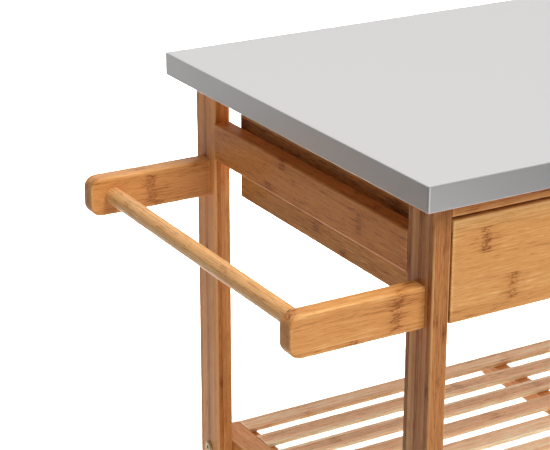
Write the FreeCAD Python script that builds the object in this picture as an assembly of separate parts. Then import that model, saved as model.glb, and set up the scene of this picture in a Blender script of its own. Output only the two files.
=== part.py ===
import FreeCAD, Part
import math
import os

# Kitchen island cart: a steel-clad worktop on a bamboo frame, with two drawers, two slatted
# shelves, a towel handle on the left end and four swivel castors, the front two with a brake.
#
# Frame: X runs along the front from the towel handle (-X) to the right end, Y runs from the
# front, where the drawers open (-Y), to the back, Z is up. The origin lies on the floor, in the
# middle of everything the cart covers, handle included. All sizes are in millimetres.

V = FreeCAD.Vector

# ------------------------------------------------------------------ overall sizes
overall_height = 900.0
top_width = 840.0
top_depth = 480.0
top_thickness = 24.0
top_overhang = 23.0           # worktop edge beyond the outer faces of the legs, all round

# ------------------------------------------------------------------ bamboo stock
stock_t = 18.5                # thickness of legs, rails, arms
stock_w = 40.0                # width of legs, rails, arms
edge_ease = 2.0               # rounding of the long edges of that stock
panel_t = 12.0                # housing panels and drawer boxes
panel_ease = 0.8              # rounding of panel edges that show

# ------------------------------------------------------------------ worktop
skin_t = 0.8                  # steel sheet
skin_corner_r = 4.0           # upright corners of the sheet, outside
skin_edge_r = 2.0             # top edges of the sheet, outside
hem_w = 9.0                   # sheet folded under the board

# ------------------------------------------------------------------ upper frame
rail_slot = 40.0              # open height between worktop and end rail

# ------------------------------------------------------------------ towel handle
arm_reach = 136.0             # arm beyond the leg
arm_gap = 2.0                 # arm top below the end rail
arm_corner_r = 12.0           # corners of the arm's free end
bar_d = 18.0
bar_from_end = 25.0           # bar centre to the arm's free end
bar_bore_depth = 10.0
screw_r = 2.0
screw_head_r = 4.0
screw_in_arm = 32.0
screw_hole_play = 0.3         # between a screw and the piece it passes through
arm_screw_inset = 10.0        # arm screws from the arm's top and bottom

# ------------------------------------------------------------------ drawers and their housing
front_h = 96.0
front_top_gap = 3.5           # between front rail and drawer front
front_side_gap = 1.5          # between leg and drawer front
front_mid_gap = 2.0           # between the two drawer fronts
front_close_gap = 0.5         # closed front to housing; the front is flush with the legs
housing_rise = 2.0            # housing's lower edge above that of the drawer fronts
housing_to_leg = 23.0         # housing's back to the back legs
runner_h = 10.0
runner_proud = 8.0
runner_start = 17.0           # runner's front end behind the drawer front
runner_back_gap = 2.0
box_play = 1.5                # drawer side to housing
groove_over = 0.3             # runner's top to groove
groove_under = 0.7            # runner's underside to groove
groove_end_play = 1.0         # runner to groove, at its side and at its end
box_h = 70.0
box_rise = 8.0                # drawer side's lower edge above that of the front
box_back_gap = 2.0
runner_hold = 45.0            # runner still in the groove when the drawer is right out
stop_gap = 1.0                # drawer back to front rail there
stop_catch = 8.5              # drawer back stands this far above the front rail's underside
bottom_t = 5.0
bottom_rise = 6.0
bottom_groove = 5.0
bottom_play = 0.2
knob_reach = 22.0
knob_r = 13.0
knob_head_h = 9.0
knob_head_round = 3.5
knob_neck_r = 5.5
knob_neck_round = 2.0
knob_base_r = 8.5
knob_foot_h = 2.5
knob_screw_in = 12.0

# ------------------------------------------------------------------ shelves
upper_shelf_z = 465.0         # top faces above the floor
lower_shelf_z = 160.0
shelf_rail_h = 22.0
ledge_w = 11.5                # step in the shelf rail that carries the slats
slat_w = 25.0
slat_t = 5.0
slat_gap = 16.0               # wanted gap, rounded so that whole slats fill the depth
slat_ease = 1.2
slat_end_play = 0.3
bolt_r = 3.0
bolt_head_r = 6.5
bolt_head_h = 2.6
bolt_in_rail = 26.0
bolt_hole_play = 0.25
socket_r = 2.3                # hexagon socket, across corners
socket_depth = 1.6

# ------------------------------------------------------------------ castors
wheel_r = 25.0
wheel_w = 20.0
wheel_headroom = 18.0         # tyre's top to the leg's end
castor_trail = 22.0           # axle behind the swivel
stem_r = 4.0
stem_in_leg = 30.0
stem_flange_r = 9.0
stem_flange_h = 5.2
king_head_r = 7.0
king_head_h = 2.5
swivel_end_play = 0.3
running_play = 0.05           # radial, all turning fits
fork_t = 2.5
fork_nose = 12.0              # fork in front of the swivel
wheel_side_gap = 1.5          # tyre to fork cheek
hub_end_play = 0.3
axle_r = 3.0
axle_head_r = 5.5
axle_head_h = 2.2
cheek_r = 8.0                 # fork cheek around the axle
tread_t = 6.5                 # thickness of the tyre on its rim
rim_w = 18.0
rim_wall = 3.5
hub_r = 7.0
web_t = 8.0
tyre_round = 4.0
brake_off_tyre = 7.2          # brake pivot outside the tyre
brake_lean = 25.8             # pivot direction from the axle, off upright
brake_pin_r = 2.0
brake_boss_r = 4.0
brake_nose_r = 2.0
brake_travel = 12.0           # degrees from free to locked
brake_turn_left = 23.0        # degrees from locked to nose square on the tyre
brake_locked_gap = 0.15
brake_side_play = 1.0
pedal_len = 26.0
pedal_t = 3.0
pedal_rise = 12.0             # degrees above level when free

# ------------------------------------------------------------------ places worked out from these
castor_h = 2 * wheel_r + wheel_headroom
rim_r = wheel_r - tread_t
front_t = stock_t - front_close_gap
handle_out = arm_reach - top_overhang
top_x0 = (handle_out - top_width) / 2
top_x1 = top_x0 + top_width
top_y0 = -top_depth / 2
top_y1 = top_depth / 2
under_top = overall_height - top_thickness

frame_x0 = top_x0 + top_overhang
frame_x1 = top_x1 - top_overhang
frame_y0 = top_y0 + top_overhang
frame_y1 = top_y1 - top_overhang
inner_x0 = frame_x0 + stock_t
inner_x1 = frame_x1 - stock_t
mid_x = (top_x0 + top_x1) / 2

leg_y = {"front": (frame_y0, frame_y0 + stock_w), "back": (frame_y1 - stock_w, frame_y1)}
leg_x = {"left": (frame_x0, inner_x0), "right": (inner_x1, frame_x1)}

end_rail_z1 = under_top - rail_slot
end_rail_z0 = end_rail_z1 - stock_w
arm_z1 = end_rail_z0 - arm_gap
arm_z0 = arm_z1 - stock_w
arm_mid_z = (arm_z0 + arm_z1) / 2
arm_x0 = frame_x0 - arm_reach
bar_x = arm_x0 + bar_from_end

front_z1 = under_top - stock_t - front_top_gap
front_z0 = front_z1 - front_h
front_back_y = frame_y0 + front_t
housing_z0 = front_z0 + housing_rise
housing_y0 = frame_y0 + stock_t
housing_y1 = frame_y1 - stock_w - housing_to_leg
housing_back_y0 = housing_y1 - panel_t
runner_y0 = front_back_y + runner_start
runner_y1 = housing_back_y0 - runner_back_gap
box_y1 = housing_back_y0 - box_back_gap
box_z0 = front_z0 + box_rise
box_z1 = box_z0 + box_h
runner_z0 = (box_z0 + box_z1 - runner_h) / 2
drawer_travel = box_y1 - runner_y0 - runner_hold
drawer_back_y0 = housing_y0 + drawer_travel + stop_gap
bottom_z0 = box_z0 + bottom_rise
bays = {"left": (inner_x0 + panel_t, mid_x - panel_t / 2),
        "right": (mid_x + panel_t / 2, inner_x1 - panel_t)}
fronts = {"left": (inner_x0 + front_side_gap, mid_x - front_mid_gap / 2),
          "right": (mid_x + front_mid_gap / 2, inner_x1 - front_side_gap)}

shelf_tops = {"upper": upper_shelf_z, "lower": lower_shelf_z}
slat_count = round((frame_y1 - frame_y0 + slat_gap) / (slat_w + slat_gap))
slat_pitch = (frame_y1 - frame_y0 - slat_w) / (slat_count - 1)
slat_x0 = inner_x0 + stock_w - ledge_w + slat_end_play
slat_x1 = inner_x1 - stock_w + ledge_w - slat_end_play

cheek_inner = wheel_w / 2 + wheel_side_gap
cheek_outer = cheek_inner + fork_t
fork_top = castor_h - stem_flange_h - swivel_end_play
pivot_reach = wheel_r + brake_off_tyre
pivot_u = castor_trail + pivot_reach * math.sin(math.radians(brake_lean))
pivot_z = wheel_r + pivot_reach * math.cos(math.radians(brake_lean))


# ------------------------------------------------------------------ helpers
def block(x, y, z):
    """A box between two limits on each axis."""
    return Part.makeBox(x[1] - x[0], y[1] - y[0], z[1] - z[0], V(x[0], y[0], z[0]))


def cylinder(radius, start, end):
    """A round bar from one point to another."""
    along = end - start
    return Part.makeCylinder(radius, along.Length, start, along)


def runs_along(edge, direction):
    """True for a straight edge that lies along a direction."""
    if not isinstance(edge.Curve, Part.Line):
        return False
    return abs(edge.Curve.Direction.dot(direction)) > 0.999


def eased(shape, radius, direction, wanted=lambda point: True):
    """Round the straight edges along a direction whose middles are wanted."""
    edges = []
    for edge in shape.Edges:
        if runs_along(edge, direction) and wanted(edge.CenterOfMass):
            edges.append(edge)
    return shape.makeFillet(radius, edges)


def turned(points, centre, axis):
    """A solid of revolution: points are (radius, height) pairs up the axis from the centre."""
    side = V(1, 0, 0) if abs(axis.x) < 0.5 else V(0, 1, 0)
    corners = [centre + side * radius + axis * height for radius, height in points]
    face = Part.Face(Part.makePolygon(corners + corners[:1]))
    return face.revolve(centre, axis, 360)


def write(name, shape):
    """Save one sub-part as STEP, as a single solid or a group of separate ones."""
    solids = shape.Solids
    result = solids[0] if len(solids) == 1 else Part.makeCompound(solids)
    result.exportStep("parts/" + name + ".step")


X, Y, Z = V(1, 0, 0), V(0, 1, 0), V(0, 0, 1)


# ------------------------------------------------------------------ worktop
def clad_block(inset, z0, z1):
    """The worktop's outline, set in from the sheet's outside, with rounded corners and top."""
    body = block((top_x0 + inset, top_x1 - inset), (top_y0 + inset, top_y1 - inset), (z0, z1))
    body = eased(body, skin_corner_r - inset, Z)
    top_edges = [edge for edge in body.Edges if edge.BoundBox.ZMin > z1 - 0.001]
    return body.makeFillet(skin_edge_r - inset, top_edges)


def top_skin():
    shell = clad_block(0, under_top, overall_height)
    shell = shell.cut(clad_block(skin_t, under_top + skin_t, overall_height - skin_t))
    window = block((top_x0 + hem_w, top_x1 - hem_w), (top_y0 + hem_w, top_y1 - hem_w),
                   (under_top - skin_t, under_top + 2 * skin_t))
    return shell.cut(window)


def top_board():
    board = clad_block(skin_t, under_top + skin_t, overall_height - skin_t)
    raised = block((top_x0 + hem_w, top_x1 - hem_w), (top_y0 + hem_w, top_y1 - hem_w),
                   (under_top, under_top + 2 * skin_t))
    return board.fuse(raised).removeSplitter()


# ------------------------------------------------------------------ upright frame
def leg(side, end):
    """One leg, bored for its castor, its two shelf bolts and, on the left, its arm screws."""
    x, y = leg_x[side], leg_y[end]
    mid_y = (y[0] + y[1]) / 2
    post = eased(block(x, y, (castor_h, under_top)), edge_ease, Z)
    centre = V((x[0] + x[1]) / 2, mid_y, castor_h)
    post = post.cut(cylinder(stem_r, centre, centre + Z * stem_in_leg))
    for top in shelf_tops.values():
        start = V(x[0], mid_y, top - shelf_rail_h / 2)
        post = post.cut(cylinder(bolt_r + bolt_hole_play, start, start + X * stock_t))
    if side == "left":
        for start in arm_screw_starts(mid_y):
            post = post.cut(arm_screw(start, screw_hole_play))
    return post


def end_rail(side):
    """Rail under the worktop's end, between two legs and flush with their outer faces."""
    body = block(leg_x[side], (leg_y["front"][1], leg_y["back"][0]), (end_rail_z0, end_rail_z1))
    return eased(body, edge_ease, Y)


def long_rail(y0):
    """Square rail right under the worktop, from leg to leg along the front or the back."""
    body = block((inner_x0, inner_x1), (y0, y0 + stock_t), (under_top - stock_t, under_top))
    return eased(body, edge_ease, X, lambda point: point.z < under_top - stock_t / 2)


# ------------------------------------------------------------------ towel handle
def arm_screw_starts(mid_y):
    """Where the screws' heads sit, on the leg's inner face."""
    return [V(inner_x0, mid_y, z) for z in (arm_z0 + arm_screw_inset, arm_z1 - arm_screw_inset)]


def arm_screw(start, play):
    """Countersunk screw through the leg into the arm; play widens it into its clearance hole."""
    depth = stock_t if play else stock_t + screw_in_arm
    radius = screw_r + play
    head = screw_head_r + play
    profile = [(0, 0), (head, 0), (radius, head - radius), (radius, depth), (0, depth)]
    return turned(profile, start, V(-1, 0, 0))


def towel_arm(end):
    """Arm butted to the leg's outer face, with a round free end and a blind bore for the bar."""
    mid_y = sum(leg_y[end]) / 2
    y = (mid_y - stock_t / 2, mid_y + stock_t / 2)
    body = block((arm_x0, frame_x0), y, (arm_z0, arm_z1))
    body = eased(body, arm_corner_r, Y, lambda point: point.x < arm_x0 + arm_corner_r)
    rim = []
    for edge in body.Edges:
        box = edge.BoundBox
        flat = box.YMax - box.YMin < 0.001
        if flat and box.XMin < frame_x0 - 0.001:
            rim.append(edge)
    body = body.makeFillet(edge_ease, rim)
    inward = 1 if end == "front" else -1
    mouth = V(bar_x, mid_y + inward * stock_t / 2, arm_mid_z)
    body = body.cut(cylinder(bar_d / 2, mouth - Y * inward * bar_bore_depth, mouth))
    for start in arm_screw_starts(mid_y):
        tip = start - X * (stock_t + screw_in_arm)
        body = body.cut(cylinder(screw_r, V(frame_x0, start.y, start.z), tip))
    return body


def towel_bar():
    y0 = sum(leg_y["front"]) / 2 + stock_t / 2 - bar_bore_depth
    y1 = sum(leg_y["back"]) / 2 - stock_t / 2 + bar_bore_depth
    return cylinder(bar_d / 2, V(bar_x, y0, arm_mid_z), V(bar_x, y1, arm_mid_z))


def arm_screws():
    screws = []
    for end in ("front", "back"):
        for start in arm_screw_starts(sum(leg_y[end]) / 2):
            screws.append(arm_screw(start, 0))
    return Part.makeCompound(screws)


# ------------------------------------------------------------------ drawer housing
def housing_panel(x, y):
    body = block(x, y, (housing_z0, under_top))
    long_way = Y if y[1] - y[0] > x[1] - x[0] else X
    return eased(body, panel_ease, long_way, lambda point: point.z < under_top - panel_t)


def drawer_runners():
    """Four strips, one on each side of each drawer's bay, eased away from the panels."""
    z = (runner_z0, runner_z0 + runner_h)
    strips = []
    for x0, x1 in bays.values():
        for x in ((x0, x0 + runner_proud), (x1 - runner_proud, x1)):
            strips.append(eased(block(x, (runner_y0, runner_y1), z), panel_ease, Y,
                                lambda point: x0 + 1 < point.x < x1 - 1))
    return Part.makeCompound(strips)


# ------------------------------------------------------------------ drawers
def drawer_inside(side):
    """Inner faces of the two drawer sides."""
    x0, x1 = bays[side]
    return x0 + box_play + panel_t, x1 - box_play - panel_t


def bottom_slot(side, y):
    """Space cut for the drawer's bottom in the pieces round it."""
    x0, x1 = drawer_inside(side)
    return block((x0 - bottom_groove, x1 + bottom_groove), y,
                 (bottom_z0, bottom_z0 + bottom_t + bottom_play))


def knob_place(side):
    """Middle of a drawer front, on its face."""
    return V(sum(fronts[side]) / 2, frame_y0, (front_z0 + front_z1) / 2)


def drawer_front(side):
    body = block(fronts[side], (frame_y0, front_back_y), (front_z0, front_z1))
    face_edges = [edge for edge in body.Edges if edge.BoundBox.YMax < frame_y0 + 0.001]
    body = body.makeFillet(edge_ease / 2, face_edges)
    body = body.cut(bottom_slot(side, (front_back_y - bottom_groove, front_back_y)))
    centre = knob_place(side)
    return body.cut(cylinder(screw_r + screw_hole_play, centre, centre + Y * front_t))


def drawer_side(side, hand):
    """A side with a groove outside for its runner and one inside for the drawer's bottom."""
    x0, x1 = bays[side]
    if hand == "left":
        x = (x0 + box_play, x0 + box_play + panel_t)
        groove_x = (x[0], x0 + runner_proud + groove_end_play)
    else:
        x = (x1 - box_play - panel_t, x1 - box_play)
        groove_x = (x1 - runner_proud - groove_end_play, x[1])
    body = eased(block(x, (front_back_y, box_y1), (box_z0, box_z1)), panel_ease, Y)
    groove_z = (runner_z0 - groove_under, runner_z0 + runner_h + groove_over)
    body = body.cut(block(groove_x, (runner_y0 - groove_end_play, box_y1), groove_z))
    return body.cut(bottom_slot(side, (front_back_y, drawer_back_y0 + panel_t)))


def drawer_back(side):
    """Back between the sides, tall enough to catch on the front rail as the stop."""
    z = (bottom_z0 + bottom_t, under_top - stock_t + stop_catch)
    body = block(drawer_inside(side), (drawer_back_y0, drawer_back_y0 + panel_t), z)
    return eased(body, panel_ease, X, lambda point: point.z > front_z1)


def drawer_bottom(side):
    x0, x1 = drawer_inside(side)
    reach = bottom_groove - bottom_play
    return block((x0 - reach, x1 + reach), (front_back_y - reach, drawer_back_y0 + panel_t),
                 (bottom_z0, bottom_z0 + bottom_t))


def knob(side):
    """Turned steel knob with a foot, a neck and a rounded head, bored for its screw."""
    centre = knob_place(side)
    head_z = knob_reach - knob_head_h
    profile = [(0, 0), (knob_base_r, 0), (knob_base_r, knob_foot_h), (knob_neck_r, knob_foot_h),
               (knob_neck_r, head_z), (knob_r, head_z), (knob_r, knob_reach), (0, knob_reach)]
    body = turned(profile, centre, -Y)
    rounds = {knob_neck_r: knob_neck_round, knob_r: knob_head_round}
    for circle_r, round_r in rounds.items():
        edges = [edge for edge in body.Edges
                 if isinstance(edge.Curve, Part.Circle) and edge.Curve.Radius == circle_r]
        body = body.makeFillet(round_r, edges)
    return body.cut(cylinder(screw_r, centre, centre - Y * knob_screw_in))


def knob_screw(side):
    """Pan-head screw from inside the drawer into the knob."""
    inside = knob_place(side) + Y * front_t
    depth = front_t + knob_screw_in
    profile = [(0, 0), (screw_r, 0), (screw_r, depth), (screw_head_r, depth),
               (screw_head_r - 1, depth + 2), (0, depth + 2)]
    return turned(profile, inside - Y * depth, Y)


# ------------------------------------------------------------------ shelves
def shelf_rail(side, top):
    """Rail across the shelf's end, stepped on its inner edge to carry the slats."""
    if side == "left":
        x = (inner_x0, inner_x0 + stock_w)
        step = (x[1] - ledge_w, x[1])
        bolt_x = inner_x0
        into = X
    else:
        x = (inner_x1 - stock_w, inner_x1)
        step = (x[0], x[0] + ledge_w)
        bolt_x = inner_x1
        into = -X
    z0 = top - shelf_rail_h
    body = block(x, (frame_y0, frame_y1), (z0, top))
    body = eased(body, slat_ease, Y)
    body = body.cut(block(step, (frame_y0, frame_y1), (top - slat_t, top)))
    for y in leg_y.values():
        start = V(bolt_x, sum(y) / 2, top - shelf_rail_h / 2)
        body = body.cut(cylinder(bolt_r, start, start + into * bolt_in_rail))
    return body


def shelf_slats(top):
    """Slats along X, the first and the last flush with the legs."""
    slats = []
    for index in range(slat_count):
        y0 = frame_y0 + index * slat_pitch
        slat = block((slat_x0, slat_x1), (y0, y0 + slat_w), (top - slat_t, top))
        slats.append(eased(slat, slat_ease, X))
    return Part.makeCompound(slats)


def shelf_battens():
    """One batten under the middle of each shelf's slats."""
    x = (mid_x - stock_t / 2, mid_x + stock_t / 2)
    battens = []
    for top in shelf_tops.values():
        body = block(x, (frame_y0, frame_y1), (top - shelf_rail_h, top - slat_t))
        battens.append(eased(body, slat_ease, Y, lambda point: point.z < top - slat_t - 1))
    return Part.makeCompound(battens)


def shelf_bolts():
    """Eight bolts through the legs into the shelf rails, with a low head and a hexagon socket."""
    bolts = []
    for face_x, into in ((frame_x0, X), (frame_x1, -X)):
        for y in leg_y.values():
            for top in shelf_tops.values():
                face = V(face_x, sum(y) / 2, top - shelf_rail_h / 2)
                reach = stock_t + bolt_in_rail
                profile = [(0, 0), (bolt_head_r - 1.2, 0), (bolt_head_r, 1.2),
                           (bolt_head_r, bolt_head_h), (bolt_r, bolt_head_h),
                           (bolt_r, bolt_head_h + reach), (0, bolt_head_h + reach)]
                outside = face - into * bolt_head_h
                corners = []
                for step in range(7):
                    angle = math.radians(60 * step)
                    corners.append(outside + Y * socket_r * math.cos(angle)
                                   + Z * socket_r * math.sin(angle))
                socket = Part.Face(Part.makePolygon(corners)).extrude(into * socket_depth)
                bolts.append(turned(profile, outside, into).cut(socket))
    return Part.makeCompound(bolts)


# ------------------------------------------------------------------ castors
# A castor is drawn round its swivel axis. It trails towards -X, so u below is the distance
# from the swivel in that direction.
def castor_centre(side, end):
    return V(sum(leg_x[side]) / 2, sum(leg_y[end]) / 2, 0)


def castor_stems():
    """Stem in the leg, flange under it, kingpin through the fork and its riveted head."""
    stems = []
    for side in leg_x:
        for end in leg_y:
            flange_z = castor_h - stem_flange_h
            head_z = fork_top - fork_t - swivel_end_play
            profile = [(0, head_z - king_head_h), (king_head_r - 1, head_z - king_head_h),
                       (king_head_r, head_z - king_head_h + 1), (king_head_r, head_z),
                       (stem_r, head_z), (stem_r, flange_z), (stem_flange_r, flange_z),
                       (stem_flange_r, castor_h), (stem_r, castor_h),
                       (stem_r, castor_h + stem_in_leg), (0, castor_h + stem_in_leg)]
            stems.append(turned(profile, castor_centre(side, end), Z))
    return Part.makeCompound(stems)


def plate_outline(points, arc_centre, radius):
    """A flat outline that runs through points and closes round an arc below its centre."""
    def tangent(point, turn):
        away = point - arc_centre
        offset = math.acos(radius / away.Length) * turn
        angle = math.atan2(away.z, away.x) + offset
        return arc_centre + V(math.cos(angle), 0, math.sin(angle)) * radius
    first = tangent(points[0], 1)
    last = tangent(points[-1], -1)
    middle = arc_centre - Z * radius
    edges = [Part.makePolygon([first] + points + [last])]
    edges.append(Part.Arc(last, middle, first).toShape())
    return Part.Face(Part.Wire(edges))


def castor_fork(side, end):
    """Bent steel fork: a top plate with the swivel hole and two cheeks down to the axle."""
    centre = castor_centre(side, end)
    at = lambda u, z: centre + V(-u, 0, z)
    outline = [at(-fork_nose, fork_top - 3 * fork_t), at(-fork_nose, fork_top),
               at(pivot_u - brake_boss_r, fork_top),
               at(pivot_u + 2 * brake_pin_r, pivot_z + brake_pin_r),
               at(pivot_u + 2 * brake_pin_r, pivot_z - 2 * brake_pin_r)]
    face = plate_outline(outline[::-1], at(castor_trail, wheel_r), cheek_r)
    plate = face.extrude(Y * fork_t)
    plate = eased(plate, fork_t, Y, lambda point: point.z < fork_top - fork_t or
                  point.x < centre.x - castor_trail)
    top_x = (centre.x - (pivot_u - brake_boss_r), centre.x + fork_nose)
    body = block(top_x, (centre.y - cheek_outer, centre.y + cheek_outer),
                 (fork_top - fork_t, fork_top))
    body = eased(body, fork_t - 0.2, X, lambda point: point.z > fork_top - 0.1)
    trim = block((top_x[0] - 2 * wheel_r, top_x[1] + 1), (centre.y - cheek_outer,
                 centre.y + cheek_outer), (0, fork_top - fork_t))
    for y0 in (-cheek_outer, cheek_inner):
        cheek = plate.copy()
        cheek.translate(Y * y0)
        body = body.fuse(cheek.common(trim))
    body = body.removeSplitter()
    body = body.cut(cylinder(stem_r + running_play, at(0, 0), at(0, castor_h)))
    across = Y * (cheek_outer + 1)
    axle_at = at(castor_trail, wheel_r)
    body = body.cut(cylinder(axle_r, axle_at - across, axle_at + across))
    pivot = at(pivot_u, pivot_z)
    return body.cut(cylinder(brake_pin_r + running_play, pivot - across, pivot + across))


def castor_axle(side, end):
    """Riveted axle with a head outside each cheek."""
    middle = castor_centre(side, end) + V(-castor_trail, 0, wheel_r)
    half = cheek_outer
    outer = half + axle_head_h
    profile = [(0, -outer), (axle_head_r - 1, -outer), (axle_head_r, 1 - outer),
               (axle_head_r, -half), (axle_r, -half), (axle_r, half), (axle_head_r, half),
               (axle_head_r, outer - 1), (axle_head_r - 1, outer), (0, outer)]
    return turned(profile, middle, Y)


def castor_wheel(side, end):
    """Moulded wheel: bored hub, web and rim."""
    middle = castor_centre(side, end) + V(-castor_trail, 0, wheel_r)
    bore = axle_r + running_play
    hub = cheek_inner - hub_end_play
    half_rim, half_web = rim_w / 2, web_t / 2
    inside = rim_r - rim_wall
    profile = [(bore, -hub), (hub_r, -hub), (hub_r, -half_web), (inside, -half_web),
               (inside, -half_rim), (rim_r, -half_rim), (rim_r, half_rim), (inside, half_rim),
               (inside, half_web), (hub_r, half_web), (hub_r, hub), (bore, hub)]
    return turned(profile, middle, Y)


def castor_tyre(side, end):
    """Rubber tread on the rim, rounded at its shoulders."""
    middle = castor_centre(side, end) + V(-castor_trail, 0, wheel_r)
    half = wheel_w / 2
    body = cylinder(wheel_r, middle - Y * half, middle + Y * half)
    shoulders = [edge for edge in body.Edges if edge.Closed]
    body = body.makeFillet(tyre_round, shoulders)
    half_rim = rim_w / 2
    body = body.cut(cylinder(rim_r, middle - Y * half_rim, middle + Y * half_rim))
    mouth = cylinder(rim_r - rim_wall / 2, middle - Y * wheel_w, middle + Y * wheel_w)
    return body.cut(mouth)


def brake_nose_reach():
    """Pivot to nose centre, so that the locked nose just clears the tyre."""
    turn = math.radians(brake_turn_left)
    wanted = wheel_r + brake_locked_gap + brake_nose_r
    half = pivot_reach * math.cos(turn)
    return half - math.sqrt(half * half - pivot_reach ** 2 + wanted ** 2)


def brake_lever(side, end):
    """Pedal on two trunnions in the fork's cheeks, with a nose that locks the tyre."""
    pivot = castor_centre(side, end) + V(-pivot_u, 0, pivot_z)
    half = cheek_inner - brake_side_play
    across = Y * half
    boss = cylinder(brake_boss_r, pivot - across, pivot + across)
    lean = math.radians(brake_lean)
    turn = math.radians(brake_travel + brake_turn_left)
    down = V(math.sin(lean - turn), 0, -math.cos(lean - turn))
    nose_at = pivot + down * brake_nose_reach()
    body = boss.fuse(cylinder(brake_nose_r, nose_at - across, nose_at + across))
    rise = math.radians(pedal_rise)
    out = V(-math.cos(rise), 0, math.sin(rise))
    up = V(math.sin(rise), 0, math.cos(rise))
    root = pivot + up * (brake_boss_r - pedal_t)
    corners = [root, root + out * pedal_len, root + out * pedal_len + up * pedal_t,
               root + up * pedal_t]
    corners = [corner - across for corner in corners]
    pedal = Part.Face(Part.makePolygon(corners + corners[:1])).extrude(across * 2)
    tip = root + out * pedal_len
    pedal = eased(pedal, pedal_t, up, lambda point: (point - tip).Length < half + pedal_t)
    pin = Y * (cheek_outer - fork_t / 5)
    body = body.fuse([pedal, cylinder(brake_pin_r, pivot - pin, pivot + pin)])
    return body.removeSplitter()


# ------------------------------------------------------------------ all sub-parts
def main():
    os.makedirs("parts", exist_ok=True)
    write("top_skin", top_skin())
    write("top_board", top_board())
    for end in leg_y:
        for side in leg_x:
            write("leg_" + end + "_" + side, leg(side, end))
        write("towel_arm_" + end, towel_arm(end))
    write("towel_bar", towel_bar())
    write("arm_screws", arm_screws())
    write("front_rail", long_rail(frame_y0))
    write("back_rail", long_rail(frame_y1 - stock_t))

    panel_y = (housing_y0, housing_y1)
    write("housing_side_left", housing_panel((inner_x0, inner_x0 + panel_t), panel_y))
    write("housing_side_right", housing_panel((inner_x1 - panel_t, inner_x1), panel_y))
    write("housing_divider", housing_panel((mid_x - panel_t / 2, mid_x + panel_t / 2),
                                           (housing_y0, housing_back_y0)))
    write("housing_back", housing_panel((inner_x0 + panel_t, inner_x1 - panel_t),
                                        (housing_back_y0, housing_y1)))
    write("drawer_runners", drawer_runners())
    for side in bays:
        write("end_rail_" + side, end_rail(side))
        name = "drawer_" + side
        write(name + "_front", drawer_front(side))
        write(name + "_side_left", drawer_side(side, "left"))
        write(name + "_side_right", drawer_side(side, "right"))
        write(name + "_back", drawer_back(side))
        write(name + "_bottom", drawer_bottom(side))
        write(name + "_knob", knob(side))
        write(name + "_knob_screw", knob_screw(side))

    for level, top in shelf_tops.items():
        write(level + "_shelf_rail_left", shelf_rail("left", top))
        write(level + "_shelf_rail_right", shelf_rail("right", top))
        write(level + "_shelf_slats", shelf_slats(top))
    write("shelf_battens", shelf_battens())
    write("shelf_bolts", shelf_bolts())

    write("castor_stems", castor_stems())
    for end in leg_y:
        for side in leg_x:
            name = "castor_" + end + "_" + side
            write(name + "_fork", castor_fork(side, end))
            write(name + "_axle", castor_axle(side, end))
            write(name + "_wheel", castor_wheel(side, end))
            write(name + "_tyre", castor_tyre(side, end))
            if end == "front":
                write(name + "_brake", brake_lever(side, end))


main()
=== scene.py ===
"""Kitchen island cart: a sheet-clad worktop on a bamboo frame, with drawers, shelves and castors."""
import math
import random

import bmesh
import bpy
from bpy.props import FloatProperty, FloatVectorProperty, PointerProperty
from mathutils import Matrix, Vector


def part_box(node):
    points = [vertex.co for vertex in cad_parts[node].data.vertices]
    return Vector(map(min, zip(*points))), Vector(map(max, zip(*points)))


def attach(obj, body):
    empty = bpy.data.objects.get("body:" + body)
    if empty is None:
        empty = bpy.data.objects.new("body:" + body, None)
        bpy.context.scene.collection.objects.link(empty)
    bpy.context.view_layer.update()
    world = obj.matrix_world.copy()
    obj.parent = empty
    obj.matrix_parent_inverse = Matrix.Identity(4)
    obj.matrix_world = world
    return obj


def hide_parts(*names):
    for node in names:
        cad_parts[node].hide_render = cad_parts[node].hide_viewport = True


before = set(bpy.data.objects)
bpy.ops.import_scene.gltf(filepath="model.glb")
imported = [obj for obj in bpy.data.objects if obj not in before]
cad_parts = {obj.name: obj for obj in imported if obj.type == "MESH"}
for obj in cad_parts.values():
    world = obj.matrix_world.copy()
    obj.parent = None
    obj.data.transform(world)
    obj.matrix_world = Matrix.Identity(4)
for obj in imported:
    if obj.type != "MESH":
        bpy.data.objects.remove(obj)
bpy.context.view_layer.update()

bl_info = {
    "name": "Kitchen Island Cart",
    "version": (1, 0, 0),
    "blender": (4, 5, 0),
    "location": "View3D > Sidebar > Cart",
    "description": "Models and finishes the cart's pieces round its fixed frame",
    "category": "Object",
}

X, Y, Z = 0, 1, 2
SIDES = ("left", "right")
ENDS = ("front", "back")
LEVELS = ("upper", "lower")
SHEET_LOW, SHEET_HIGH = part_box("top_skin")
TINY = 1e-5


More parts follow.
